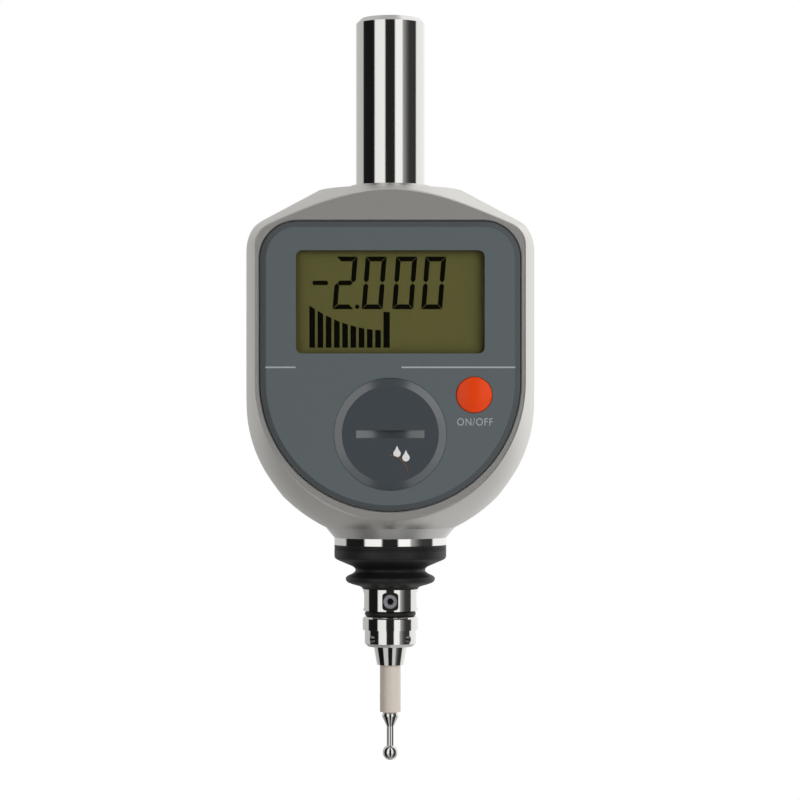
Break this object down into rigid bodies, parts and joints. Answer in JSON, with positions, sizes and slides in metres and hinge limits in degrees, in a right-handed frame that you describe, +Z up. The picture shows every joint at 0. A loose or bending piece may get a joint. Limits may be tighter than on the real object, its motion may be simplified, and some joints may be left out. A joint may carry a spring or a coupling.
{
  "type": "digital edge finder",
  "caption": "Three-axis digital edge finder: round spindle shank, flat satin housing with display, battery cover and button, rubber bellows, and a ball stylus on a ceramic shaft.",
  "frame": {"origin": "on the shank's axis at its shoulder, where the shank meets the housing", "axes": "+Z up the shank, away from the stylus; -Y out of the display; +X to the display's right seen from the front"},
  "size_m": [0.0826, 0.0483, 0.2172],
  "materials": {
    "satin_housing": "bead-blasted, matt nickel plated",
    "ring_metal": "satin turned cone with a polished band",
    "ground_steel": "hardened and ground, polished",
    "dark_screws": "black oxide",
    "zinc_steel": "zinc plated",
    "bush_bronze": "turned sintered bronze",
    "seal_rubber": "moulded black nitrile rubber",
    "panel_plastic": "fine matt moulded slate grey",
    "cover_plastic": "smooth moulded dark grey",
    "inner_plastic": "moulded black",
    "button_orange": "satin orange silicone-hard plastic",
    "window_clear": "clear acrylic pane",
    "lcd_cell": "olive liquid crystal cell",
    "reflector_white": "white reflector",
    "board_green": "green solder resist",
    "component_mixed": "tinned and ceramic parts",
    "cell_steel": "nickel plated steel can",
    "scale_glass": "glass scale with fine marks",
    "ceramic": "unglazed beige zirconia ceramic"
  },
  "bodies": {
    "housing_body": {"housing": "satin_housing", "shank": "ground_steel", "shank_screw": "dark_screws", "retaining_ring": "ring_metal", "ring_o_ring": "seal_rubber", "bellows": "seal_rubber", "guide_bush": "bush_bronze", "front_panel": "panel_plastic", "panel_seal": "seal_rubber", "display_window": "window_clear", "lcd_glass": "lcd_cell", "lcd_reflector": "reflector_white", "lcd_contact_strips": "seal_rubber", "circuit_board": "board_green", "controller_chip": "inner_plastic", "board_components": "component_mixed", "board_screws": "zinc_steel", "read_head_carrier": "inner_plastic", "encoder_read_head": "inner_plastic", "battery_holder": "inner_plastic", "battery_contact": "zinc_steel", "coin_cell": "cell_steel", "dome_switch": "zinc_steel", "plunger_bush": "bush_bronze", "spring_washer": "zinc_steel", "measuring_spring": "zinc_steel"},
    "plunger_body": {"plunger": "ground_steel", "encoder_scale": "scale_glass"},
    "carriage": {"carriage_sleeve": "ground_steel", "gimbal_pins_x": "ground_steel"},
    "gimbal": {"gimbal_ring": "ground_steel", "gimbal_pins_y": "ground_steel"},
    "probe": {"probe_arm": "ground_steel", "probe_head": "ground_steel", "centring_screws": "dark_screws", "head_o_ring": "seal_rubber", "clamp_ring": "ground_steel", "stylus_nut": "ground_steel", "stylus_holder": "ground_steel", "ceramic_shaft": "ceramic", "stylus_stem": "ground_steel", "probe_ball": "ground_steel"},
    "button": {"power_button": "button_orange"},
    "cover_seal": {"cover_o_ring": "seal_rubber"},
    "cover": {"battery_cover": "cover_plastic"}
  },
  "joints": [
    {"name": "probe_axial", "type": "slide", "parent": "housing_body", "child": "carriage", "axis": [0, 0, 1], "range_m": [0, 0.005], "stiffness_N_per_m": 1000, "springref_m": -0.003, "deforming": ["bellows"]},
    {"name": "plunger_lift", "type": "slide", "parent": "housing_body", "child": "plunger_body", "axis": [0, 0, 1], "range_m": [0, 0.005], "deforming": ["measuring_spring"]},
    {"name": "probe_tilt_x", "type": "hinge", "parent": "carriage", "child": "gimbal", "pos_m": [0, 0, -0.086], "axis": [1, 0, 0], "range_deg": [-5, 5], "stiffness_Nm_per_rad": 0.6},
    {"name": "probe_tilt_y", "type": "hinge", "parent": "gimbal", "child": "probe", "pos_m": [0, 0, -0.086], "axis": [0, 1, 0], "range_deg": [-5, 5], "stiffness_Nm_per_rad": 0.6},
    {"name": "button_press", "type": "slide", "parent": "housing_body", "child": "button", "axis": [0, 1, 0], "range_m": [0, 0.0006], "stiffness_N_per_m": 1500, "springref_m": -0.0002},
    {"name": "cover_lift", "type": "slide", "parent": "housing_body", "child": "cover_seal", "axis": [0, -1, 0], "range_m": [0, 0.0025]},
    {"name": "cover_turn", "type": "hinge", "parent": "cover_seal", "child": "cover", "pos_m": [0, 0, -0.0728], "axis": [0, -1, 0], "range_deg": [0, 900]}
  ],
  "couplings": [
    {"joint": "plunger_lift", "follows": "probe_axial", "ratio": 1},
    {"joint": "cover_lift", "follows": "cover_turn", "m_per_rad": 0.00015915}
  ]
}
